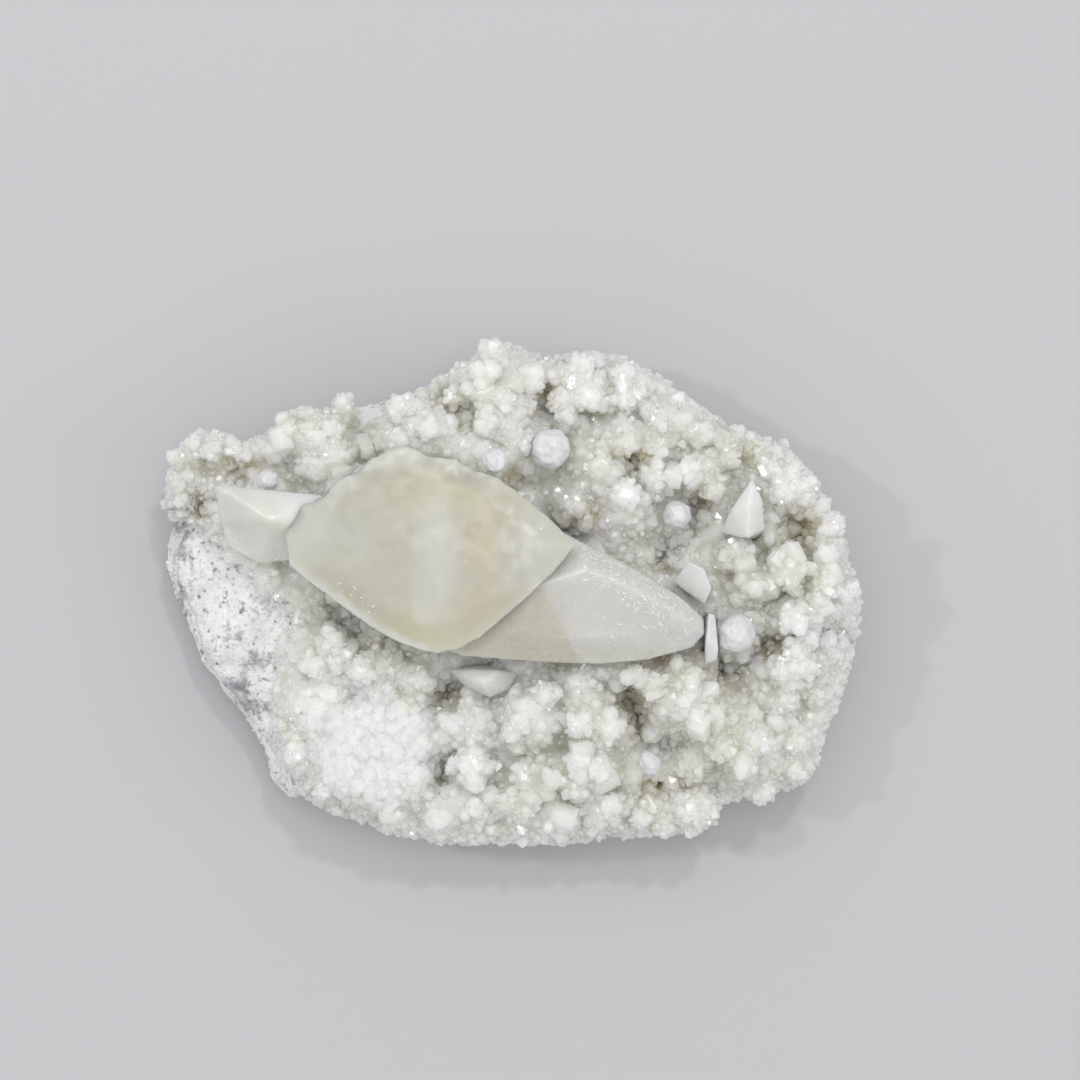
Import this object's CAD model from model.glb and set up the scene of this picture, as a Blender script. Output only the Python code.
# %% [markdown]
# # A calcite specimen on basalt
#
# The real object is a hand-sized piece of a lava bubble's lining. Dark basalt carries a crust of
# small milky crystals, and three honey-white calcite crystals grown together lie across it. This
# lesson dresses the plain solids of that specimen: each solid is swapped for a finer mesh with
# the crystals, grains and stains that the real one shows. All lengths are metres.

import math

import bmesh
import bpy
import numpy as np
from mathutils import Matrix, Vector, noise
from mathutils.bvhtree import BVHTree


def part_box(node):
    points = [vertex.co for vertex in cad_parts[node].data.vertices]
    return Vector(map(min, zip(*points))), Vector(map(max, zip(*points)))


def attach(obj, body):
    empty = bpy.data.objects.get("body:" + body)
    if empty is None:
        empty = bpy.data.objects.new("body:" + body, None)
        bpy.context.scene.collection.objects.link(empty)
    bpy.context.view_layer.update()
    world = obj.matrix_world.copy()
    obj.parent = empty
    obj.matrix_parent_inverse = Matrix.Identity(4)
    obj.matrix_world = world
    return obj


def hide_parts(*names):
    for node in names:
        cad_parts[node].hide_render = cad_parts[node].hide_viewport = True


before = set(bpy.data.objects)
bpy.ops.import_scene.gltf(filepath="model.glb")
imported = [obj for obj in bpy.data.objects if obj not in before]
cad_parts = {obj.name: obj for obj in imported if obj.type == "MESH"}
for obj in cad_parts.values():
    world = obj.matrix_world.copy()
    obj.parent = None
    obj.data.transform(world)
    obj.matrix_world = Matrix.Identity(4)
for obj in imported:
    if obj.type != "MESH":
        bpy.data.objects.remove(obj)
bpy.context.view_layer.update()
MM = 0.001
print("solids:", sorted(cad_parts))

# %% [markdown]
# ## The camera first
#
# The specimen lies on its back and is seen from straight above, as a collector photographs it.
# A long lens from 42 cm keeps the outline from stretching. It could be placed by eye, but with
# two sizes known, the distance and the width that the picture spans, every later piece can also
# be placed by its spot in the picture. The drawing of the solids and the frame differ by a small
# shift, which the low corner of the calcite gives.

# %% Camera and the spot helper
DRAWN_CORNER = Vector((-38.5, -9.4)) * MM
low_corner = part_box("calcite_crystals")[0]
SHIFT = Vector((low_corner[0] - DRAWN_CORNER.x, low_corner[1] - DRAWN_CORNER.y, 0.0))
EYE = Vector((3.96, 6.91, 436.0)) * MM + SHIFT
FOCUS_HEIGHT = 16.0 * MM
SPAN = 145.0 * MM
PICTURE = 1080
SENSOR = 36.0

bpy.ops.object.camera_add(location=EYE, rotation=(0.0, 0.0, 0.0))
camera = bpy.context.object
camera.name = "Camera"
camera.data.sensor_width = SENSOR
camera.data.lens = SENSOR * (EYE.z - FOCUS_HEIGHT) / SPAN
camera.data.clip_start = 0.01
bpy.context.scene.camera = camera


def spot(across, down, height):
    """The place at a height in millimetres that the picture shows at these pixels."""
    z = height * MM
    scale = SPAN / PICTURE * (EYE.z - z) / (EYE.z - FOCUS_HEIGHT)
    middle = PICTURE / 2
    return Vector((EYE.x + (across - middle) * scale, EYE.y - (down - middle) * scale, z))


def drawn(x, y, z):
    """The place of a point of the drawing, given in millimetres."""
    return Vector((x, y, z)) * MM + SHIFT


print("lens", round(camera.data.lens, 1), "mm, shift", [round(v / MM, 2) for v in SHIFT])

# %% [markdown]
# ## Floor and studio light
#
# A pale floor and soft light show a white object without harsh shadows. One large lamp stands
# towards the top of the picture, so lumps are lighter on their upper side. One beside the camera
# lights the hollows as the camera sees them, and the sky fills in. Two small, bright lamps are
# there for glints: crystal faces sparkle only where a small light is mirrored in them.

# %% Floor, lamps and sky
bpy.ops.mesh.primitive_plane_add(size=3.0, location=(0.0, 0.0, 0.0))
floor = bpy.context.object
floor.name = "studio_floor"
floor_paint = bpy.data.materials.new("pale_floor")
floor_paint.use_nodes = True
floor_shader = floor_paint.node_tree.nodes["Principled BSDF"]
floor_shader.inputs["Base Color"].default_value = (0.50, 0.50, 0.51, 1.0)
floor_shader.inputs["Roughness"].default_value = 0.8
floor.data.materials.append(floor_paint)


def lamp(name, place, size, power):
    """A square lamp that looks at the specimen."""
    bpy.ops.object.light_add(type="AREA", location=place)
    made = bpy.context.object
    made.name = name
    made.data.size = size
    made.data.energy = power
    made.rotation_euler = (-Vector(place)).to_track_quat("-Z", "Y").to_euler()


lamp("soft_lamp", (-0.12, 0.33, 0.80), 0.50, 0.9)
lamp("front_lamp", (0.06, 0.06, 0.95), 0.30, 1.4)
lamp("side_lamp", (0.65, -0.10, 0.55), 0.45, 0.7)
lamp("glint_lamp", (0.10, 0.26, 0.62), 0.03, 0.6)
lamp("second_glint_lamp", (-0.34, 0.10, 0.55), 0.03, 0.5)
sky = bpy.data.worlds.new("studio_sky")
sky.use_nodes = True
sky.node_tree.nodes["Background"].inputs["Color"].default_value = (0.96, 0.97, 0.99, 1.0)
sky.node_tree.nodes["Background"].inputs["Strength"].default_value = 0.67
bpy.context.scene.world = sky
bpy.context.scene.view_settings.view_transform = "Standard"

# %% [markdown]
# ## Helpers for modelling by hand
#
# Operators act on what is selected, so each piece starts by selecting only itself. A copy of a
# solid comes as loose triangles and is merged first. Modifiers are applied as soon as they are
# made, so that every finished piece is a plain mesh at the origin.


# %% Selecting, copying and applying
def only(piece):
    """Selects one piece and makes it the active one."""
    bpy.ops.object.select_all(action="DESELECT")
    piece.select_set(True)
    bpy.context.view_layer.objects.active = piece


def copy_of(node, name):
    """A merged copy of a solid, as a new piece."""
    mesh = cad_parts[node].data.copy()
    mesh.name = name
    mesh.materials.clear()
    piece = bpy.data.objects.new(name, mesh)
    bpy.context.collection.objects.link(piece)
    only(piece)
    bpy.ops.object.mode_set(mode="EDIT")
    bpy.ops.mesh.select_all(action="SELECT")
    bpy.ops.mesh.remove_doubles(threshold=0.00001)
    bpy.ops.object.mode_set(mode="OBJECT")
    return piece


def modified(piece, kind, **settings):
    """Adds a modifier with these settings and applies it."""
    only(piece)
    modifier = piece.modifiers.new(kind.title(), kind)
    for key, value in settings.items():
        setattr(modifier, key, value)
    bpy.ops.object.modifier_apply(modifier=modifier.name)


def displaced(piece, kind, scale, strength, **settings):
    """Pushes a piece's skin in and out by a noise texture of a given grain size."""
    texture = bpy.data.textures.new(f"{piece.name}_{kind.lower()}", kind)
    texture.noise_scale = scale
    for key, value in settings.items():
        setattr(texture, key, value)
    modified(
        piece, "DISPLACE", texture=texture, texture_coords="LOCAL", strength=strength, mid_level=0.5
    )


def points_of(piece):
    """The corner places and normals of a piece as two arrays."""
    count = len(piece.data.vertices)
    places = np.empty(count * 3)
    normals = np.empty(count * 3)
    piece.data.vertices.foreach_get("co", places)
    piece.data.vertices.foreach_get("normal", normals)
    return places.reshape(-1, 3), normals.reshape(-1, 3)


def tree_of(*pieces):
    """One search tree over several pieces, for finding what lies near a point or along a ray."""
    corners = []
    faces = []
    for piece in pieces:
        start = len(corners)
        corners += [v.co.copy() for v in piece.data.vertices]
        faces += [[start + i for i in face.vertices] for face in piece.data.polygons]
    return BVHTree.FromPolygons(corners, faces)


def mark(piece, name, values):
    """Stores one number for each corner of a piece, for its material to read."""
    layer = piece.data.attributes.get(name) or piece.data.attributes.new(name, "FLOAT", "POINT")
    layer.data.foreach_set("value", np.asarray(values, dtype=np.float32))


def marked(piece, name):
    """The numbers that a mark has stored so far."""
    values = np.zeros(len(piece.data.vertices), dtype=np.float32)
    if name in piece.data.attributes:
        piece.data.attributes[name].data.foreach_get("value", values)
    return values


def count_triangles(piece):
    """How many triangles a piece would have if each face were cut into triangles."""
    return sum(len(face.vertices) - 2 for face in piece.data.polygons)


def finish_piece(piece, material, slot, *nodes):
    """Gives a piece its material, its ride and the solids that it stands for."""
    piece.data.materials.clear()
    piece.data.materials.append(material)
    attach(piece, "root")
    if nodes:
        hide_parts(*nodes)
    print(piece.name, "with", count_triangles(piece), "triangles")


# %% [markdown]
# ## The materials
#
# Every crystal here is cloudy rather than clear: light goes in, spreads and comes out nearby.
# Subsurface scattering gives that glow, and how far the light spreads decides how see-through a
# crystal looks. Colour changes slowly over the specimen and turns tan and olive in the hollows,
# where iron has stained it. All the materials use the slow change, so it is a node group that
# puts out a colour. What belongs to one place, such as a stain, is stored on the piece's corners
# and read by its material.


# %% A small language for node trees
def new_group(name, inputs, outputs):
    """An empty node group with named sockets, and its input and output nodes."""
    tree = bpy.data.node_groups.new(name, "ShaderNodeTree")
    for label, kind, value in inputs:
        socket = tree.interface.new_socket(name=label, in_out="INPUT", socket_type=kind)
        socket.default_value = value
    for label, kind in outputs:
        tree.interface.new_socket(name=label, in_out="OUTPUT", socket_type=kind)
    return tree, tree.nodes.new("NodeGroupInput"), tree.nodes.new("NodeGroupOutput")


def add_node(tree, kind, **values):
    """A node with its properties and unlinked inputs set by name."""
    made = tree.nodes.new(kind)
    for key, value in values.items():
        if key.startswith("in_"):
            made.inputs[key[3:].replace("_", " ")].default_value = value
        else:
            setattr(made, key, value)
    return made


def feed(tree, socket, value):
    """Links a socket to a value that is one too, or sets it to a plain value."""
    if isinstance(value, bpy.types.NodeSocket):
        tree.links.new(value, socket)
    else:
        socket.default_value = value


def mixed(tree, factor, first, second):
    """A colour mix; here and below, each value is a socket to link or a plain one."""
    mix = add_node(tree, "ShaderNodeMix", data_type="RGBA")
    for number, value in ((0, factor), (6, first), (7, second)):
        feed(tree, mix.inputs[number], value)
    return mix.outputs[2]


def calculated(tree, operation, first, second, clamp=False):
    """A sum on two values."""
    sum_node = add_node(tree, "ShaderNodeMath", operation=operation, use_clamp=clamp)
    feed(tree, sum_node.inputs[0], first)
    feed(tree, sum_node.inputs[1], second)
    return sum_node.outputs[0]


def ranged(tree, value, low, high, to_low=0.0, to_high=1.0):
    """Maps one range of a value to another, smoothly and clamped."""
    made = add_node(tree, "ShaderNodeMapRange", interpolation_type="SMOOTHSTEP")
    for number, given in enumerate((value, low, high, to_low, to_high)):
        feed(tree, made.inputs[number], given)
    return made.outputs[0]


def noise_value(tree, scale, detail=3.0, roughness=0.55, distortion=0.0):
    """Noise on object coordinates; the scale is in bumps per metre."""
    coordinates = add_node(tree, "ShaderNodeTexCoord")
    made = add_node(tree, "ShaderNodeTexNoise", in_Detail=detail, in_Roughness=roughness)
    feed(tree, made.inputs["Scale"], scale)
    feed(tree, made.inputs["Distortion"], distortion)
    feed(tree, made.inputs["Vector"], coordinates.outputs["Object"])
    return made.outputs["Fac"]


print("node helpers ready")

# %% The clouding that all the materials share
clouding, cloud_in, cloud_out = new_group(
    "clouding",
    [
        ("Light", "NodeSocketColor", (1, 1, 1, 1)),
        ("Dark", "NodeSocketColor", (0, 0, 0, 1)),
        ("Scale", "NodeSocketFloat", 150.0),
        ("Spread", "NodeSocketFloat", 0.2),
    ],
    [("Color", "NodeSocketColor")],
)
cloud_noise = noise_value(clouding, cloud_in.outputs["Scale"], 4.0, 0.6)
cloud_low = calculated(clouding, "SUBTRACT", 0.5, cloud_in.outputs["Spread"])
cloud_high = calculated(clouding, "ADD", 0.5, cloud_in.outputs["Spread"])
cloudiness = ranged(clouding, cloud_noise, cloud_low, cloud_high)
cloud_colour = mixed(clouding, cloudiness, cloud_in.outputs["Light"], cloud_in.outputs["Dark"])
clouding.links.new(cloud_colour, cloud_out.inputs["Color"])
print("group:", clouding.name)


# %% Shaders for cloudy stone
def crystal_material(name, depth, spread, ior=1.56, scatter=1.0):
    """A cloudy crystal: how deep light and its colours spread, and the mineral's refraction."""
    made = bpy.data.materials.new(name)
    made.use_nodes = True
    shader = made.node_tree.nodes["Principled BSDF"]
    shader.inputs["IOR"].default_value = ior
    shader.inputs["Subsurface Weight"].default_value = scatter
    shader.inputs["Subsurface Radius"].default_value = spread
    shader.inputs["Subsurface Scale"].default_value = depth
    return made, made.node_tree, shader


def clouded(tree, light, dark, scale, spread=0.2):
    """The colour of the clouding group, placed in a material."""
    made = add_node(tree, "ShaderNodeGroup", node_tree=clouding)
    made.inputs["Light"].default_value = (*light, 1.0)
    made.inputs["Dark"].default_value = (*dark, 1.0)
    made.inputs["Scale"].default_value = scale
    made.inputs["Spread"].default_value = spread
    return made.outputs["Color"]


def stored(tree, name):
    """The number that mark() stored on the piece."""
    return add_node(tree, "ShaderNodeAttribute", attribute_name=name).outputs["Fac"]


def bumped(tree, shader, height, strength, distance):
    """Bumps a material by a height value; the distance is in metres."""
    bump = add_node(tree, "ShaderNodeBump", in_Strength=strength, in_Distance=distance)
    tree.links.new(height, bump.inputs["Height"])
    tree.links.new(bump.outputs["Normal"], shader.inputs["Normal"])


# %% The crust's material
CRUST_BRIGHTNESS = 0.96


def crust_tones(*tones):
    """Tones of the crust, all dimmed alike."""
    return [tuple(CRUST_BRIGHTNESS * v for v in tone) for tone in tones]


def crust_material():
    """Milky crystal: whiter and greyer crystals, greenish patches, stained hollows and chalk."""
    made, tree, shader = crystal_material("crust_bed", 7.0 * MM, (1.0, 1.0, 0.9))
    white = clouded(tree, *crust_tones((0.90, 0.89, 0.85), (0.84, 0.83, 0.785)), 260.0)
    grey = clouded(tree, *crust_tones((0.78, 0.78, 0.71), (0.71, 0.71, 0.63)), 130.0)
    patches = ranged(tree, noise_value(tree, 120.0, 3.0, 0.5), 0.42, 0.58, 0.0, 0.9)
    tinted = ranged(tree, stored(tree, "tint"), 0.25, 0.9, 0.0, 0.7)
    colour = mixed(tree, calculated(tree, "MAXIMUM", patches, tinted), white, grey)
    stain = clouded(tree, (0.67, 0.59, 0.45), (0.55, 0.525, 0.385), 110.0)
    colour = mixed(tree, stored(tree, "hollow"), colour, stain)
    chalk_white = clouded(tree, (0.80, 0.80, 0.79), (0.71, 0.71, 0.70), 700.0, 0.25)
    colour = mixed(tree, stored(tree, "chalk"), colour, chalk_white)
    glossy = ranged(tree, noise_value(tree, 900.0), 0.3, 0.7, 0.09, 0.288)
    dull = calculated(tree, "MULTIPLY", stored(tree, "chalk"), 0.85)
    rough = calculated(tree, "MAXIMUM", glossy, dull)
    tree.links.new(colour, shader.inputs["Base Color"])
    tree.links.new(rough, shader.inputs["Roughness"])
    bumped(tree, shader, noise_value(tree, 2600.0), 0.15, 0.06 * MM)
    return made


crust_finish = crust_material()
print("crust material ready")

# %% The basalt under its white powder
basalt_finish = bpy.data.materials.new("powdered_basalt")
basalt_finish.use_nodes = True
basalt_tree = basalt_finish.node_tree
basalt_shader = basalt_tree.nodes["Principled BSDF"]
stone_colour = clouded(basalt_tree, (0.44, 0.45, 0.46), (0.22, 0.225, 0.235), 500.0)
powder_colour = clouded(basalt_tree, (0.87, 0.87, 0.86), (0.73, 0.735, 0.73), 300.0)
speck = ranged(basalt_tree, noise_value(basalt_tree, 1100.0, 3.0), 0.30, 0.44)
patch = ranged(basalt_tree, noise_value(basalt_tree, 150.0, 5.0, 0.7), 0.36, 0.50)
powder = calculated(basalt_tree, "MULTIPLY", stored(basalt_tree, "powder"), patch)
powder = calculated(basalt_tree, "MULTIPLY", powder, speck)
basalt_colour = mixed(basalt_tree, powder, stone_colour, powder_colour)
basalt_tree.links.new(basalt_colour, basalt_shader.inputs["Base Color"])
basalt_rough = ranged(basalt_tree, noise_value(basalt_tree, 800.0), 0.2, 0.8, 0.75, 0.97)
basalt_tree.links.new(basalt_rough, basalt_shader.inputs["Roughness"])
bumped(basalt_tree, basalt_shader, noise_value(basalt_tree, 2200.0, 5.0, 0.7), 0.6, 0.25 * MM)
print("basalt ready")


# %% Calcite, single crystals and tufts
HONEY = (0.51, 0.49, 0.34, 1.0)
AMBER = (0.53, 0.465, 0.335, 1.0)
VEIL = (0.62, 0.615, 0.58, 1.0)
ETCHED_WHITE = (0.84, 0.84, 0.83, 1.0)
WARM_SPREAD = (1.0, 0.95, 0.8)


def calcite_material(name, light, dark, amber, roughness):
    """Waxy calcite: clouds, and stains where the piece's marks say so."""
    made, tree, shader = crystal_material(name, 5.0 * MM, WARM_SPREAD, ior=1.6)
    shader.inputs["Transmission Weight"].default_value = 0.1
    colour = clouded(tree, light, dark, 95.0, 0.22)
    drift = ranged(tree, noise_value(tree, 170.0, 3.0), 0.25, 0.75, 0.6, 1.1)
    for mark_name, stain in (("honey", HONEY), ("amber", amber), ("veil", VEIL)):
        amount = calculated(tree, "MULTIPLY", stored(tree, mark_name), drift, True)
        colour = mixed(tree, amount, colour, stain)
    wisp = ranged(tree, noise_value(tree, 420.0, 5.0, 0.7, 0.6), 0.58, 0.74, 0.0, 0.3)
    colour = mixed(tree, wisp, colour, VEIL)
    colour = mixed(tree, stored(tree, "glint"), colour, ETCHED_WHITE)
    tree.links.new(colour, shader.inputs["Base Color"])
    rough = ranged(tree, noise_value(tree, 500.0, 4.0), 0.35, 0.7, roughness * 0.7, roughness * 1.5)
    tree.links.new(rough, shader.inputs["Roughness"])
    bumped(tree, shader, noise_value(tree, 900.0, 5.0, 0.65), 0.12, 0.10 * MM)
    return made


fan_finish = calcite_material(
    "honey_calcite", (0.515, 0.51, 0.44), (0.47, 0.465, 0.39), AMBER, 0.46
)
taper_finish = calcite_material(
    "grey_calcite", (0.655, 0.65, 0.625), (0.60, 0.595, 0.565), (0.54, 0.51, 0.43, 1.0), 0.28
)
single_finish = calcite_material(
    "single_crystal", (0.81, 0.81, 0.785), (0.72, 0.72, 0.69), AMBER, 0.2
)

tuft_finish, tuft_tree, tuft_shader = crystal_material(
    "white_tuft", 0.8 * MM, WARM_SPREAD, scatter=0.45
)
tuft_shader.inputs["Roughness"].default_value = 0.6
tuft_colour = clouded(tuft_tree, (0.73, 0.73, 0.74), (0.62, 0.62, 0.63), 900.0, 0.25)
tuft_tree.links.new(tuft_colour, tuft_shader.inputs["Base Color"])
bumped(tuft_tree, tuft_shader, noise_value(tuft_tree, 5200.0, 4.0, 0.7), 0.5, 0.1 * MM)
print("materials:", len(bpy.data.materials))

# %% [markdown]
# ## Thousands of small crystals
#
# A few crystals are modelled by hand: six-sided, five-sided and four-sided blocks with bevelled
# tops, two of them pointed, a thin lath and a plain grain. Thousands of copies could be
# instances, but the export wants real meshes, so their corners are multiplied as arrays and
# joined to one mesh. Each copy stands along the skin's normal, because crystals grow away from
# what carries them.


# %% Model crystals
def model_arrays(model):
    """The corners and triangles of a model; the model itself isn't kept."""
    modified(model, "TRIANGULATE")
    corners = np.array([tuple(v.co) for v in model.data.vertices])
    triangles = np.array([tuple(f.vertices) for f in model.data.polygons])
    bpy.data.objects.remove(model)
    return corners, triangles


def block_model(name, sides, shoulder, point):
    """The arrays of a short prism with a bevelled top, one unit across."""
    bpy.ops.object.select_all(action="DESELECT")
    bpy.ops.mesh.primitive_cylinder_add(vertices=sides, radius=0.5, depth=1.0, location=(0, 0, 0))
    model = bpy.context.object
    model.name = name
    bpy.ops.object.mode_set(mode="EDIT")
    bpy.ops.mesh.select_all(action="DESELECT")
    work = bmesh.from_edit_mesh(model.data)
    for face in work.faces:
        face.select = face.normal.z > 0.9
    bmesh.update_edit_mesh(model.data)
    bpy.ops.mesh.inset(thickness=shoulder)
    bpy.ops.transform.translate(value=(0.0, 0.0, point))
    bpy.ops.object.mode_set(mode="OBJECT")
    return model_arrays(model)


stout = [
    block_model("hexagon_model", 6, 0.12, 0.10),
    block_model("tilted_hexagon_model", 6, 0.20, 0.24),
    block_model("square_model", 4, 0.13, 0.14),
    block_model("five_sided_model", 5, 0.22, 0.20),
]
pointed = [
    block_model("pointed_model", 6, 0.34, 0.40),
    block_model("square_point_model", 4, 0.26, 0.34),
]
bpy.ops.mesh.primitive_ico_sphere_add(subdivisions=1, radius=0.5, location=(0, 0, 0))
grain = model_arrays(bpy.context.object)
lath = block_model("lath_model", 4, 0.1, 0.05)
print("model triangles:", [len(triangles) for _, triangles in stout + pointed + [grain, lath]])

# %% Where crystals stand
picker = np.random.default_rng(5)


def face_table(piece):
    """Centres, normals and areas of a piece's faces."""
    count = len(piece.data.polygons)
    centres, normals, areas = np.empty(count * 3), np.empty(count * 3), np.empty(count)
    piece.data.polygons.foreach_get("center", centres)
    piece.data.polygons.foreach_get("normal", normals)
    piece.data.polygons.foreach_get("area", areas)
    return centres.reshape(-1, 3), normals.reshape(-1, 3), areas


def sizes_between(low, high, count):
    """Drawn sizes, the largest first, from a range in millimetres."""
    return np.sort(picker.uniform(low, high, int(count)))[::-1] * MM


def cell_of(place, width):
    """The cell of a grid of cubes that a place lies in."""
    return tuple(int(v // width) for v in place)


def stored_near(taken, cell):
    """What has been stored in a cell and in the cells that touch it."""
    return [
        other
        for dx in (-1, 0, 1) for dy in (-1, 0, 1) for dz in (-1, 0, 1)
        for other in taken.get((cell[0] + dx, cell[1] + dy, cell[2] + dz), ())
    ]


def spread_places(weights, sizes, centres, spacing):
    """Draws a face by weight for each size, and keeps the places that have room round them."""
    chosen = picker.choice(len(weights), size=len(sizes), p=weights / weights.sum())
    kept = []
    taken = {}
    for index, size in zip(chosen, sizes):
        place = centres[index]
        cell = cell_of(place, 2.0 * MM)
        room = spacing * size
        if all(
            abs(place[0] - x) + abs(place[1] - y) + abs(place[2] - z) > room + other_room
            for x, y, z, other_room in stored_near(taken, cell)
        ):
            taken.setdefault(cell, []).append((*place, room))
            kept.append((index, size))
    return kept


def layers_of(kept, centres, clearance=0.85):
    """Sorts places into layers whose members stand clear of each other."""
    layers = []
    for index, size in kept:
        place = centres[index]
        cell = cell_of(place, 8.0 * MM)
        for taken, members in layers:
            if all(
                math.dist(place, other[:3]) > clearance * (size + other[3])
                for other in stored_near(taken, cell)
            ):
                break
        else:
            taken, members = {}, []
            layers.append((taken, members))
        taken.setdefault(cell, []).append((*place, size))
        members.append((index, size))
    return [members for _, members in layers]


JITTER = 0.022
WIDTHS = (0.75, 1.2)
LATH_WIDTHS = (0.3, 1.1)
LATH_STRAY = 0.45


def planted(model, kept, centres, normals, sink, stretch, wobble, along=None, longer=1.0):
    """The corners and triangles of a model copied to every kept place.

    The sink is the share of a crystal that is under the skin, the stretch its range of length
    to width, and the wobble how far it leans. With a direction to lie along, it lies that way,
    and is that much longer.
    """
    corners, triangles = model
    count = len(kept)
    index = np.array([k[0] for k in kept])
    size = np.array([k[1] for k in kept])
    axis = normals[index] + picker.normal(0.0, wobble, (count, 3))
    axis /= np.linalg.norm(axis, axis=1)[:, None]
    ways = picker.normal(0.0, 1.0, (count, 3))
    if along is not None:
        ways = np.cross(axis, np.array(along) + LATH_STRAY * ways)
    side = np.cross(axis, ways)
    side /= np.linalg.norm(side, axis=1)[:, None]
    other = np.cross(axis, side)
    long = size * picker.uniform(*stretch, count)
    wide = size * picker.uniform(*WIDTHS, count) * longer
    if along is not None:
        wide *= picker.uniform(*LATH_WIDTHS, count)
    moved = (
        corners[None, :, 0, None] * side[:, None, :] * wide[:, None, None]
        + corners[None, :, 1, None] * other[:, None, :] * size[:, None, None]
        + (corners[None, :, 2, None] + 0.5 - sink) * axis[:, None, :] * long[:, None, None]
    )
    moved += picker.normal(0.0, JITTER, moved.shape) * size[:, None, None]
    moved += centres[index][:, None, :]
    faces = triangles[None, :, :] + (np.arange(count) * len(corners))[:, None, None]
    return moved.reshape(-1, 3), faces.reshape(-1, 3)


def join_piece(name, batches):
    """A piece from several batches of corners and triangles."""
    starts = np.cumsum([0] + [len(places) for places, _ in batches])
    places = np.concatenate([places for places, _ in batches])
    faces = np.concatenate([faces + start for (_, faces), start in zip(batches, starts)])
    mesh = bpy.data.meshes.new(name)
    mesh.vertices.add(len(places))
    mesh.vertices.foreach_set("co", places.ravel())
    mesh.loops.add(faces.size)
    mesh.loops.foreach_set("vertex_index", faces.ravel())
    mesh.polygons.add(len(faces))
    mesh.polygons.foreach_set("loop_start", np.arange(0, faces.size, 3))
    mesh.update(calc_edges=True)
    mesh.shade_flat()
    piece = bpy.data.objects.new(name, mesh)
    bpy.context.collection.objects.link(piece)
    return piece


def settled(piece):
    """Puts corners and faces in one fixed order, which a Boolean leaves to chance."""
    modified(piece, "TRIANGULATE")
    places, _ = points_of(piece)
    order = np.lexsort(places.T)
    rank = np.empty(len(order), dtype=int)
    rank[order] = np.arange(len(order))
    corners = np.empty(len(piece.data.loops), dtype=int)
    piece.data.loops.foreach_get("vertex_index", corners)
    triangles = rank[corners.reshape(-1, 3)]
    turns = triangles.argmin(axis=1)[:, None] + np.arange(3)
    triangles = np.take_along_axis(triangles, turns % 3, axis=1)
    triangles = triangles[np.lexsort(triangles.T[::-1])]
    tints = marked(piece, "tint")[order]
    sorted_piece = join_piece(f"{piece.name}_sorted", [(places[order], triangles)])
    piece.data = sorted_piece.data
    bpy.data.objects.remove(sorted_piece)
    mark(piece, "tint", tints)


print("planting helpers ready")

# %% [markdown]
# ## The calcite group
#
# Crystals are bodies bounded by flat faces, so the quickest honest way to model one is to place
# its corners and let the Convex Hull operator stretch faces over them. The corners start as the
# points of a plain circle. Coplanar triangles are dissolved, edges get a fine bevel, and the
# skin is divided and etched by a very small noise, because natural calcite faces are never
# mirrors. Thin laths fused into it are the bright ridges of the etched skin. Stains follow the
# picture: a spot of it, a facet beside a line of it, or a band along a drawn edge.


# %% Crystals from their corners
def hull_piece(name, corners, bevel):
    """A crystal that spans these corner places."""
    bpy.ops.object.select_all(action="DESELECT")
    bpy.ops.mesh.primitive_circle_add(vertices=len(corners), radius=MM, fill_type="NOTHING")
    piece = bpy.context.object
    piece.name = name
    for vertex, place in zip(piece.data.vertices, corners):
        vertex.co = place
    bpy.ops.object.mode_set(mode="EDIT")
    bpy.ops.mesh.select_all(action="SELECT")
    bpy.ops.mesh.convex_hull()
    bpy.ops.mesh.select_all(action="SELECT")
    bpy.ops.mesh.dissolve_limited(angle_limit=math.radians(4.0))
    bpy.ops.mesh.select_all(action="SELECT")
    bpy.ops.mesh.bevel(offset=bevel, segments=2, profile=0.6)
    bpy.ops.object.mode_set(mode="OBJECT")
    return piece


def away_from(places, rim):
    """How far each place is, seen from above, from a closed line of drawn points."""
    line = [np.array(drawn(*point))[:2] for point in rim]
    nearest = np.full(len(places), 1.0)
    for start, end in zip(line, line[1:] + line[:1]):
        run = end - start
        share = np.clip(((places[:, :2] - start) @ run) / (run @ run), 0.0, 1.0)
        gap = places[:, :2] - (start + share[:, None] * run)
        nearest = np.minimum(nearest, np.hypot(gap[:, 0], gap[:, 1]))
    return nearest


def beside(places, line):
    """How far each place is from an open line: the closed one that runs there and back."""
    return away_from(places, line + line[-2:0:-1])


CROWN_ROUNDING = 60


def etched(piece, cell, grain_size, depth, crown_rim=None):
    """Divides the skin into small cells, rounds the crown inside a rim, and etches the skin."""
    modified(piece, "REMESH", mode="VOXEL", voxel_size=cell)
    modified(piece, "SMOOTH", factor=0.5, iterations=1)
    if crown_rim:
        places, _ = points_of(piece)
        group = piece.vertex_groups.new(name="crown")
        weights = np.clip((away_from(places, crown_rim) - 1.0 * MM) / (1.5 * MM), 0.0, 1.0)
        for i, weight in enumerate(weights):
            group.add([i], float(weight), "REPLACE")
        modified(piece, "SMOOTH", factor=0.5, iterations=CROWN_ROUNDING, vertex_group="crown")
    displaced(piece, "CLOUDS", grain_size, depth, noise_depth=3)
    piece.data.shade_smooth()


CALCITE_TOP = 31.0
CALCITE_SLOPE = 30.0


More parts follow.
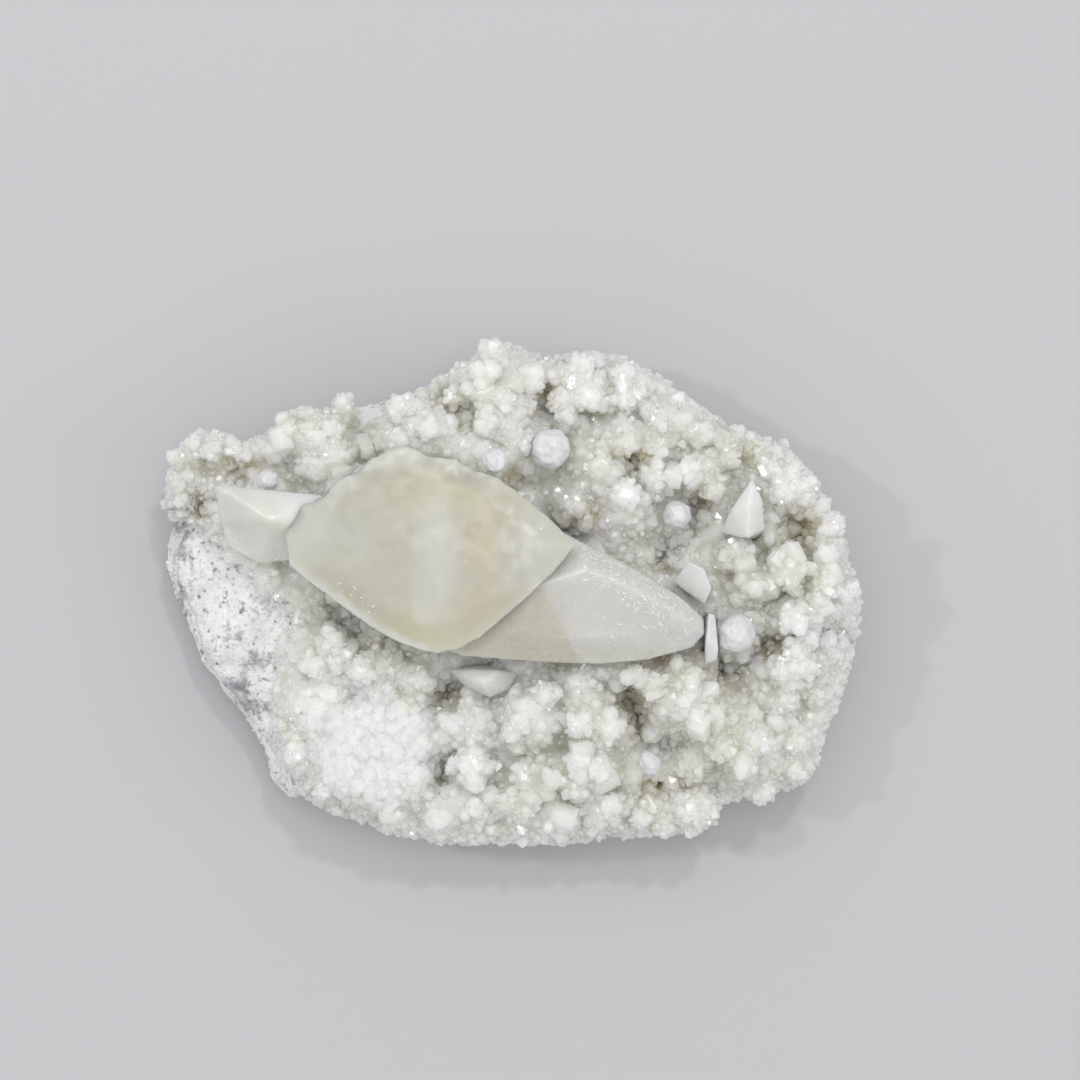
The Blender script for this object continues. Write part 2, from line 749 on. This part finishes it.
def streaked(piece, along, longer, white, *patches):
    """Sets thin laths almost flush into the skin, where etching has left bright ridges."""
    modified(piece, "TRIANGULATE")
    mark(piece, "glint", marked(piece, "glint"))
    centres, normals, areas = face_table(piece)
    for (across, down), reach, count in patches:
        middle = np.array(spot(across, down, CALCITE_SLOPE))[:2]
        away = np.hypot(*((centres[:, :2] - middle).T)) / (reach * MM)
        weights = areas * (away < 1.0) * (normals[:, 2] > 0.3)
        kept = spread_places(weights, sizes_between(0.10, 0.26, count), centres, 1.2)
        for layer in layers_of(kept, centres, 3.0):
            laths = planted(
                lath, layer, centres, normals,
                sink=0.74, stretch=(0.8, 1.2), wobble=0.12, along=along, longer=longer,
            )
            growth = join_piece("laths", [laths])
            mark(growth, "glint", np.full(len(growth.data.vertices), white))
            modified(piece, "BOOLEAN", object=growth, operation="UNION", solver="MANIFOLD")
            bpy.data.objects.remove(growth)


def mark_higher(piece, name, values):
    """Raises a mark where these numbers are higher than what is stored."""
    mark(piece, name, np.maximum(marked(piece, name), values))


def stained(piece, name, *spots):
    """Marks how stained each corner is by the distance to a few spots of the picture."""
    places, _ = points_of(piece)
    amounts = np.zeros(len(places))
    for across, down, half_width, half_height, amount in spots:
        centre = np.array(spot(across, down, CALCITE_TOP))[:2]
        flat = (places[:, :2] - centre) / (np.array((half_width, half_height)) * MM)
        amounts = np.maximum(amounts, amount * np.exp(-np.sum(flat * flat, axis=1)))
    mark_higher(piece, name, amounts)


def faced(piece, name, start, end, softness, amount):
    """Marks what lies left of a line of the picture, as one facet is tinted by its own depth."""
    places, _ = points_of(piece)
    start = np.array(spot(*start, CALCITE_SLOPE))[:2]
    end = np.array(spot(*end, CALCITE_SLOPE))[:2]
    across = np.array((-(end - start)[1], (end - start)[0])) / np.hypot(*(end - start))
    beyond = (places[:, :2] - start) @ across / softness
    mark_higher(piece, name, amount * np.clip(0.5 - beyond, 0.0, 1.0))


def rimmed(piece, name, line, width, softness, amount):
    """Marks a band beside a drawn line, with a slightly ragged edge."""
    places, _ = points_of(piece)
    ragged = [0.5 * MM * noise.noise(Vector(place) / (1.4 * MM)) for place in places]
    gap = beside(places, line) + np.array(ragged)
    mark_higher(piece, name, amount * np.clip(0.5 + (width - gap) / softness, 0.0, 1.0))


def soft_edge(piece, line, width, height):
    """Lumps along a drawn line, where the crystal has grown together with the crust."""
    places, normals = points_of(piece)
    near = np.clip(1.0 - beside(places, line) / width, 0.0, 1.0)
    for i in np.nonzero(near)[0]:
        place = Vector(places[i])
        lump = noise.noise(place / (3.4 * MM)) + 0.3 * noise.noise(place / (1.2 * MM))
        piece.data.vertices[i].co = place + Vector(normals[i]) * height * float(near[i]) * lump


print("calcite helpers ready")

# %% The fan-shaped crystal
fan_rim = [
    (-29.3, 7.4, 29.6), (-28.7, 3.5, 29.8), (-25.8, 1.2, 30.2), (-22.2, -1.2, 30.6),
    (-18.4, -4.2, 30.9), (-14.4, -6.5, 31.1), (-11.6, -7.5, 31.2), (-9.2, -7.9, 31.3),
    (-6.6, -7.3, 31.5), (-4.2, -6.1, 31.7), (-2.4, -4.5, 31.9), (-0.6, -2.8, 32.0),
    (1.9, -0.8, 32.1), (4.0, 1.0, 32.1), (6.6, 3.6, 31.9), (8.7, 6.4, 31.4), (4.8, 10.2, 31.2),
    (0.6, 13.6, 30.8), (-2.4, 15.4, 30.4), (-5.4, 16.8, 30.0), (-9.6, 17.9, 29.8),
    (-13.8, 18.6, 29.6), (-19.8, 17.2, 29.6), (-23.3, 14.2, 29.6), (-27.4, 10.8, 29.6),
]
fan_crown = [
    (-26.6, 7.8, 30.6), (-20.4, 13.4, 30.8), (-11.6, 15.6, 31.0), (-3.2, 13.0, 31.5),
    (-22.0, 3.2, 31.4), (-13.0, 6.4, 32.0), (-4.0, 5.6, 32.4), (4.6, 6.4, 32.3),
    (-15.6, -2.6, 31.7), (-8.0, -4.0, 32.0), (-1.6, 0.2, 32.5),
]
fan_root = [(-16.0, 5.6, 18.6), (-6.0, 4.2, 17.8), (1.0, 6.6, 20.6)]
upper_edge = [
    (-25.6, 12.4, 29.6), (-23.6, 14.0, 29.6), (-19.8, 17.2, 29.6), (-13.8, 18.6, 29.6),
    (-9.6, 17.9, 29.8), (-5.4, 16.8, 30.0), (-2.4, 15.4, 30.4),
]
fan = hull_piece("calcite_fan", [drawn(*p) for p in fan_rim + fan_crown + fan_root], 0.2 * MM)
etched(fan, 0.24 * MM, 1.6 * MM, 0.05 * MM, fan_rim)
streaked(fan, (1.0, -0.5, 0.0), 4.0, 0.7, ((352, 606), 3.4, 24), ((520, 555), 5.0, 6))
soft_edge(fan, upper_edge, 3.4 * MM, 1.2 * MM)
stained(fan, "honey", (440, 492, 8.0, 4.5, 1.0), (430, 628, 6.0, 4.0, 1.0), (360, 590, 6, 4, 0.3))
stained(fan, "amber", (485, 548, 3.0, 6.0, 1.0), (480, 595, 4.0, 4.0, 0.7), (395, 565, 3, 3, 0.3))
rimmed(fan, "veil", fan_rim[1:7], 1.0 * MM, 1.0 * MM, 0.9)
rimmed(fan, "veil", upper_edge[1:], 2.2 * MM, 2.2 * MM, 0.8)
rimmed(fan, "veil", [(-9.8, 9.4, 31.0), (-10.6, -1.9, 31.0)], 2.2 * MM, 0.5 * MM, 0.55)
stained(fan, "veil", (437, 560, 2.6, 8.0, 1.0), (545, 550, 5.0, 5.0, 0.5), (300, 520, 3, 6, 0.5))
finish_piece(fan, fan_finish, "calcite", "calcite_crystals")

# %% The tapered crystal and the short one at the left end
taper_rim = [
    (6.0, 8.4, 28.6), (9.6, 6.4, 29.0), (17.0, 2.9, 28.4), (22.2, -0.4, 27.6), (25.5, -3.4, 26.8),
    (25.6, -5.4, 26.8), (23.8, -7.3, 26.8), (18.2, -8.8, 27.0), (11.8, -9.4, 27.2),
    (4.0, -9.1, 27.4), (-6.4, -8.3, 27.6), (-8.6, -7.4, 27.8),
]
taper_crown = [
    (3.4, 0.8, 31.0), (10.0, 3.2, 31.2), (17.0, 0.2, 30.2), (22.6, -3.2, 28.4),
    (7.0, -5.8, 29.8), (7.6, -7.9, 28.4), (16.0, -5.4, 29.2), (1.4, -4.6, 30.0),
]
taper_root = [(4.0, -1.2, 18.4), (14.0, -2.2, 18.8), (20.0, -3.6, 20.8)]
taper = hull_piece(
    "calcite_taper", [drawn(*p) for p in taper_rim + taper_crown + taper_root], 0.15 * MM
)
etched(taper, 0.22 * MM, 1.4 * MM, 0.05 * MM)
streaked(
    taper, (1.0, -0.6, 0.0), 7.0, 1.0, ((600, 562), 3.4, 50), ((640, 590), 3.6, 50),
    ((675, 612), 3.6, 44), ((698, 630), 2.6, 16), ((640, 625), 5.0, 24),
)
stained(taper, "honey", (500, 645, 6.0, 4.5, 0.6), (640, 655, 9.0, 1.2, 0.5))
stained(taper, "amber", (497, 645, 4.5, 4.0, 1.0), (540, 630, 3.6, 6.0, 0.8))
faced(taper, "amber", (550, 601), (576, 655), 0.3 * MM, 1.1)
stained(taper, "veil", (620, 600, 6.0, 4.0, 0.6), (690, 625, 4.0, 3.0, 1.0))
finish_piece(taper, taper_finish, "calcite", "calcite_crystals")

tail_corners = [
    (-38.5, 14.2, 28.4), (-38.0, 9.6, 26.6), (-37.3, 6.0, 24.4), (-33.0, 3.7, 23.6),
    (-28.6, 4.2, 23.8), (-23.8, 8.0, 27.4), (-24.2, 12.8, 28.4), (-28.4, 12.0, 29.4),
    (-32.4, 12.9, 29.0), (-31.0, 9.6, 31.0), (-32.6, 8.8, 18.8), (-27.6, 8.2, 18.0),
]
tail = hull_piece("calcite_tail", [drawn(*p) for p in tail_corners], 0.2 * MM)
etched(tail, 0.24 * MM, 1.4 * MM, 0.08 * MM)
stained(tail, "honey", (270, 520, 3.0, 3.0, 0.3))
stained(tail, "amber", (262, 568, 3.0, 2.0, 0.3))
stained(tail, "veil", (225, 505, 4.0, 5.0, 1.0))
finish_piece(tail, single_finish, "calcite", "calcite_crystals")

# %% [markdown]
# ## Single crystals beside the calcite
#
# They are made in the same way, each in the place of its own solid.

# %% Four single crystals
single_corners = {
    "lens_crystal": [
        (-8.3, -10.4, 21.0), (1.0, -10.8, 21.4), (-5.8, -12.7, 21.8), (-2.6, -14.0, 22.2),
        (0.0, -12.9, 21.8), (-5.0, -10.2, 23.6), (-1.6, -10.3, 23.8), (-3.6, -11.8, 25.0),
        (-3.6, -11.4, 16.6), (-3.4, -9.6, 18.6),
    ],
    "dogtooth_crystal": [
        (31.7, 15.0, 27.4), (33.0, 12.2, 27.2), (28.9, 10.8, 26.4), (31.2, 11.6, 28.6),
        (33.6, 8.4, 24.4), (27.8, 8.0, 23.8), (31.2, 7.2, 26.6), (33.0, 7.0, 16.6),
        (28.4, 7.2, 16.4), (31.6, 12.4, 18.4),
    ],
    "blade_crystal_upper": [
        (21.4, 1.4, 24.6), (23.4, 4.1, 26.6), (25.4, 3.2, 26.8), (26.5, 0.6, 26.0),
        (25.6, -1.6, 24.6), (23.0, 0.4, 17.0), (25.4, 2.6, 17.4), (26.0, -0.6, 16.8),
        (23.0, 2.8, 18.4),
    ],
    "blade_crystal_lower": [
        (26.0, -2.6, 26.6), (26.9, -2.9, 26.4), (27.3, -7.4, 26.6), (25.6, -6.4, 26.8),
        (25.7, -9.4, 25.0), (27.2, -8.9, 25.2), (26.0, -3.4, 17.4), (27.4, -3.4, 17.6),
        (25.8, -8.6, 17.0), (27.6, -8.4, 17.2),
    ],
}
singles = []
for node, corners in single_corners.items():
    single = hull_piece(f"{node}_cut", [drawn(*p) for p in corners], 0.15 * MM)
    etched(single, 0.2 * MM, 0.8 * MM, 0.05 * MM)
    finish_piece(single, single_finish, "single_crystal", node)
    singles.append(single)

# %% [markdown]
# ## White tufts
#
# Each tuft is a ball of hair-fine needles that all start at its centre, so it looks like a
# slightly faceted snowball. A round ball displaced by a fine cell pattern gives the bundle ends.

# %% Six tufts
tufts = []
for number in range(1, 7):
    low, high = (Vector(corner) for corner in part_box(f"white_ball_{number}"))
    size = high - low
    bpy.ops.object.select_all(action="DESELECT")
    bpy.ops.mesh.primitive_ico_sphere_add(subdivisions=5, radius=0.5, location=(0, 0, 0))
    tuft = bpy.context.object
    tuft.name = f"white_tuft_{number}"
    centre = 0.5 * (low + high)
    for vertex in tuft.data.vertices:
        vertex.co = centre + Vector(a * b for a, b in zip(vertex.co, size)) * 0.99
    displaced(tuft, "CLOUDS", 1.8 * MM, 0.6 * MM, noise_depth=1)
    displaced(tuft, "VORONOI", 0.9 * MM, 0.25 * MM)
    displaced(tuft, "CLOUDS", 0.35 * MM, 0.10 * MM, noise_depth=2)
    tuft.data.shade_smooth()
    finish_piece(tuft, tuft_finish, "white_tuft", f"white_ball_{number}")
    tufts.append(tuft)

# %% [markdown]
# ## The basalt
#
# The solid has the right broken outline, but its faces are too large and clean. A voxel remesh
# gives it an even skin, and clouds and cells of noise break it up. What is next to the floor is
# pressed flat again, so that it rests on its cut back. White powder lies on what faces up and
# outwards on the bare flank, and the cut back and the undersides stay dark.

# %% Basalt from its solid
basalt = copy_of("basalt_matrix", "basalt")
modified(basalt, "REMESH", mode="VOXEL", voxel_size=0.55 * MM)
displaced(basalt, "CLOUDS", 3.0 * MM, 0.9 * MM, noise_depth=3)
displaced(basalt, "VORONOI", 1.6 * MM, 0.45 * MM)
places, normals = points_of(basalt)
for vertex, place in zip(basalt.data.vertices, places):
    if place[2] < 0.7 * MM:
        vertex.co.z = max(0.0, min(vertex.co.z, 0.2 * MM))
    vertex.co.z = max(vertex.co.z, 0.0)
low_side = np.clip((places[:, 2] - 3.0 * MM) / (4.0 * MM), 0.0, 1.0)
mark(basalt, "powder", np.clip(normals[:, 2] + 0.75, 0.0, 1.0) * low_side)
finish_piece(basalt, basalt_finish, "basalt", "basalt_matrix")

# %% Crumbs of powder on the bare flank
centres, normals, areas = face_table(basalt)
flank = areas * np.clip(normals[:, 2] + 0.1, 0.0, 1.0) * (centres[:, 2] > 5.0 * MM)
flank *= (centres[:, 0] < drawn(-26.0, 0, 0).x) * (centres[:, 1] < drawn(0, 10.0, 0).y)
kept = spread_places(flank, sizes_between(0.3, 0.9, 1600), centres, 0.36)
grains = planted(grain, kept, centres, normals, sink=0.78, stretch=(0.6, 1.0), wobble=0.5)
crumbs = join_piece("powder_crumbs", [grains])
mark(crumbs, "powder", np.repeat(picker.uniform(0.8, 1.0, len(kept)), len(grain[0])))
finish_piece(crumbs, basalt_finish, "basalt")

# %% [markdown]
# ## The fused skin of the crust
#
# The crust's solid carries the lumps, hollows and larger blocks. A copy of it is split in two
# halves along a line under the calcite, so that each half has room for a hundred thousand
# triangles more. Middle-sized crystals are planted on each, then many small ones and a few
# large ones, and low blocks on the chalky patch. They must become one body with the bed: then
# light passes through the whole crust, as it does in the real one, where every crystal has grown
# into the next. A Boolean union does that and keeps all edges sharp. It wants bodies that don't
# cross themselves, so the crystals are sorted into layers whose members stand clear of each
# other, and each layer is joined in one go. A union leaves the order of the faces to chance.
# Places are drawn from a list of faces, so the faces are put in a fixed order first.

# %% A rough bed in two halves
bed = copy_of("crystal_crust", "crust_lower")
modified(bed, "REMESH", mode="VOXEL", voxel_size=0.5 * MM)
displaced(bed, "CLOUDS", 2.2 * MM, 0.5 * MM, noise_depth=1)
modified(bed, "TRIANGULATE")
modified(bed, "DECIMATE", ratio=0.16)
solid_tree = tree_of(fan, taper, tail, *singles, *tufts)
calcite_tree = tree_of(fan, taper, tail)

PARTING = [
    (-60, 12), (-44, 11), (-40, 12.4), (-36, 9), (-20, 7), (0, 3), (18, -3), (26.4, -6),
    (27.6, -8.6), (29.6, -10.8), (31.8, -9.8), (33.4, -7.2), (36.2, -6.6), (38.4, -5.4),
    (41.2, -6.6), (42.4, -5.2), (43.6, -6.9), (44.8, -5.4), (46.0, -6.8), (47.2, -5.8),
    (60, -6.0),
]
outline = [drawn(x, y, 0) for x, y in PARTING] + [drawn(60, 60, 0), drawn(-60, 60, 0)]
bpy.ops.object.select_all(action="DESELECT")
bpy.ops.mesh.primitive_circle_add(vertices=len(outline), radius=MM, fill_type="NGON")
upper_space = bpy.context.object
for vertex, place in zip(upper_space.data.vertices, outline):
    vertex.co = place + Vector((0, 0, -10 * MM))
bpy.ops.object.mode_set(mode="EDIT")
bpy.ops.mesh.select_all(action="SELECT")
bpy.ops.mesh.extrude_region_move(TRANSFORM_OT_translate={"value": (0, 0, 60 * MM)})
bpy.ops.mesh.select_all(action="SELECT")
bpy.ops.mesh.normals_make_consistent(inside=False)
bpy.ops.mesh.quads_convert_to_tris()
bpy.ops.object.mode_set(mode="OBJECT")
only(bed)
bpy.ops.object.duplicate()
upper_bed = bpy.context.object
upper_bed.name = "crust_upper"
modified(upper_bed, "BOOLEAN", object=upper_space, operation="INTERSECT", solver="MANIFOLD")
modified(bed, "BOOLEAN", object=upper_space, operation="DIFFERENCE", solver="MANIFOLD")
bpy.data.objects.remove(upper_space)
print("halves:", count_triangles(bed), count_triangles(upper_bed))


# %% Where crystals may stand
CRUST_HEIGHT = 19.0
FULL_AREA = 3500.0 * MM**2


def in_chalk(places):
    """Below one inside the chalky patch, with a ragged edge."""
    centre = np.array(spot(378, 748, CRUST_HEIGHT))[:2]
    flat = (places[:, :2] - centre) / (np.array((9.2, 7.8)) * MM)
    ragged = [0.5 * noise.noise(Vector((p[0], p[1], 0.0)) / (3.0 * MM)) for p in places]
    return np.hypot(flat[:, 0], flat[:, 1]) + np.array(ragged)


def free_faces(piece):
    """Centres and normals of a piece's faces, and how much of each is free for crystals."""
    centres, normals, areas = face_table(piece)
    weight = areas * np.clip(normals[:, 2] + 0.5, 0.0, 1.0) * (centres[:, 2] > 8.0 * MM)
    for i in np.nonzero(weight)[0]:
        start = Vector(centres[i]) + Vector((0, 0, 0.2 * MM))
        if solid_tree.ray_cast(start, Vector((0, 0, 1)), 5.0 * MM)[0] is not None:
            weight[i] = 0.0
    return centres, normals, weight


def fineness(centres):
    """One on the sugary upper right edge and the outer rim, nought elsewhere."""
    right_top = np.clip((centres[:, 1] + 0.45 * centres[:, 0]) / (33.0 * MM), 0.0, 1.0) ** 5
    rim = np.clip(np.hypot(centres[:, 0] / (47.0 * MM), centres[:, 1] / (33.5 * MM)), 0.0, 1.0)
    return np.maximum(right_top, rim**12)


# %% Growing layers of crystals into the bed
share = 1.0


def grow(skin, name, models, count, sizes, weights, centres, normals, **shape):
    """Plants crystals of a size range and fuses them with the skin, layer by layer."""
    kept = spread_places(weights, sizes_between(*sizes, count * share), centres, 0.3)
    for layer in layers_of(kept, centres):
        batches = []
        tints = []
        for turn, model in enumerate(models):
            part = layer[turn :: len(models)]
            if part:
                batches.append(planted(model, part, centres, normals, **shape))
                tints.append(np.repeat(picker.uniform(0.0, 1.0, len(part)), len(model[0])))
        growth = join_piece(name, batches)
        mark(growth, "tint", np.concatenate(tints))
        modified(skin, "BOOLEAN", object=growth, operation="UNION", solver="MANIFOLD")
        bpy.data.objects.remove(growth)
    print(name, "planted", len(kept), "of", count, "and the skin has", count_triangles(skin))


every = stout + pointed
slanted = [stout[1], stout[3]] + pointed
for skin in (bed, upper_bed):
    mark(skin, "tint", np.full(len(skin.data.vertices), 0.5))
    settled(skin)
    centres, normals, free = free_faces(skin)
    fullness = free.sum() / FULL_AREA
    print(skin.name, "has", round(float(free.sum() / MM**2)), "mm2 free")
    chalkiness = in_chalk(centres)
    clear = free * (chalkiness > 1.0)
    fine = fineness(centres)
    grow(
        skin, "middle", slanted, 1300 * fullness, (0.9, 1.8), clear, centres, normals,
        sink=0.77, stretch=(0.8, 1.3), wobble=0.6,
    )
    edges = clear * (0.5 + fine)
    grow(
        skin, "small", every, 3900 * fullness, (0.4, 0.95), edges, centres, normals,
        sink=0.62, stretch=(0.8, 1.4), wobble=0.6,
    )
    coarse = clear * (1.0 - 0.85 * fine)
    grow(
        skin, "large", slanted, 80 * fullness, (1.8, 3.2), coarse, centres, normals,
        sink=0.70, stretch=(0.8, 1.1), wobble=0.5,
    )
    powdery = free * (chalkiness < 1.02)
    if powdery.sum() > 0.0:
        grow(
            skin, "chalk", stout, 700, (0.7, 2.2), powdery, centres, normals,
            sink=0.86, stretch=(0.7, 1.0), wobble=0.35,
        )

# %% Keeping each half under its share of triangles
SKIN_TRIANGLES = 196000
for skin in (bed, upper_bed):
    settled(skin)
    if count_triangles(skin) > SKIN_TRIANGLES:
        modified(skin, "DECIMATE", ratio=SKIN_TRIANGLES / count_triangles(skin))

# %% [markdown]
# The share of sky that each point of the skin can't see is measured with a few rays. Iron has
# stained the crystals tan and olive in some of the holes only, so the stain needs both: a hole
# from the list, and a point that is hidden in it.

# %% Stained holes and the skin's finish
STAINED_HOLES = [
    (237, 467, 3.0, 2.4), (192, 510, 2.6, 2.4), (360, 415, 1.6, 1.6), (452, 402, 1.6, 1.6),
    (550, 393, 1.8, 1.8), (510, 480, 2.0, 1.4), (580, 515, 4.5, 1.4), (638, 456, 2.4, 1.6),
    (704, 501, 1.6, 2.2), (751, 451, 2.0, 1.6), (802, 530, 2.8, 3.4), (670, 570, 1.8, 1.4),
    (710, 580, 2.2, 2.0), (726, 683, 3.0, 2.6), (775, 650, 2.0, 1.8), (634, 705, 1.6, 5.4),
    (664, 657, 1.6, 1.4), (695, 664, 1.6, 1.4), (684, 775, 2.0, 1.6), (655, 789, 2.0, 1.6),
    (448, 696, 1.6, 1.2), (433, 715, 1.4, 1.4), (455, 760, 1.2, 1.2), (330, 585, 3.4, 2.0),
    (390, 640, 3.6, 1.8),
]
SKY_REACH = 6.0 * MM
SKY_RAYS = 9
sky_ways = []
for i in range(SKY_RAYS):
    tilt = math.sqrt((i + 0.5) / SKY_RAYS) * math.radians(66.0)
    turn = i * math.pi * (3.0 - math.sqrt(5.0))
    sky_ways.append(
        Vector((math.sin(tilt) * math.cos(turn), math.sin(tilt) * math.sin(turn), math.cos(tilt)))
    )
skin_tree = tree_of(bed, upper_bed)


def hidden_share(place, normal):
    """The share of the sky above a point that something close by hides."""
    start = Vector(place) + Vector(normal) * 0.15 * MM
    hits = 0
    for way in sky_ways:
        hidden = skin_tree.ray_cast(start, way, SKY_REACH)[0] is not None
        hits += hidden or calcite_tree.ray_cast(start, way, SKY_REACH)[0] is not None
    return hits / SKY_RAYS


def holes_stain(places, normals):
    """How stained each point is."""
    near_hole = np.zeros(len(places))
    for across, down, half_width, half_height in STAINED_HOLES:
        middle = np.array(spot(across, down, CRUST_HEIGHT))[:2]
        flat = (places[:, :2] - middle) / (np.array((half_width, half_height)) * MM)
        near_hole = np.maximum(near_hole, np.exp(-np.sum(flat * flat, axis=1)))
    for i in np.nonzero(near_hole > 0.05)[0]:
        near_hole[i] *= min(1.0, max(0.0, (hidden_share(places[i], normals[i]) - 0.25) / 0.35))
    return near_hole


for skin in (bed, upper_bed):
    places, normals = points_of(skin)
    mark(skin, "hollow", holes_stain(places, normals))
    mark(skin, "chalk", np.clip((1.15 - in_chalk(places)) / 0.3, 0.0, 1.0))
    skin.data.shade_flat()
    finish_piece(skin, crust_finish, "crust_crystal", "crystal_crust")

# %% Sizes at the end
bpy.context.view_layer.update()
seen = [o for o in bpy.data.objects if o.type == "MESH" and not o.hide_render]
print("triangles in all:", sum(count_triangles(o) for o in seen))
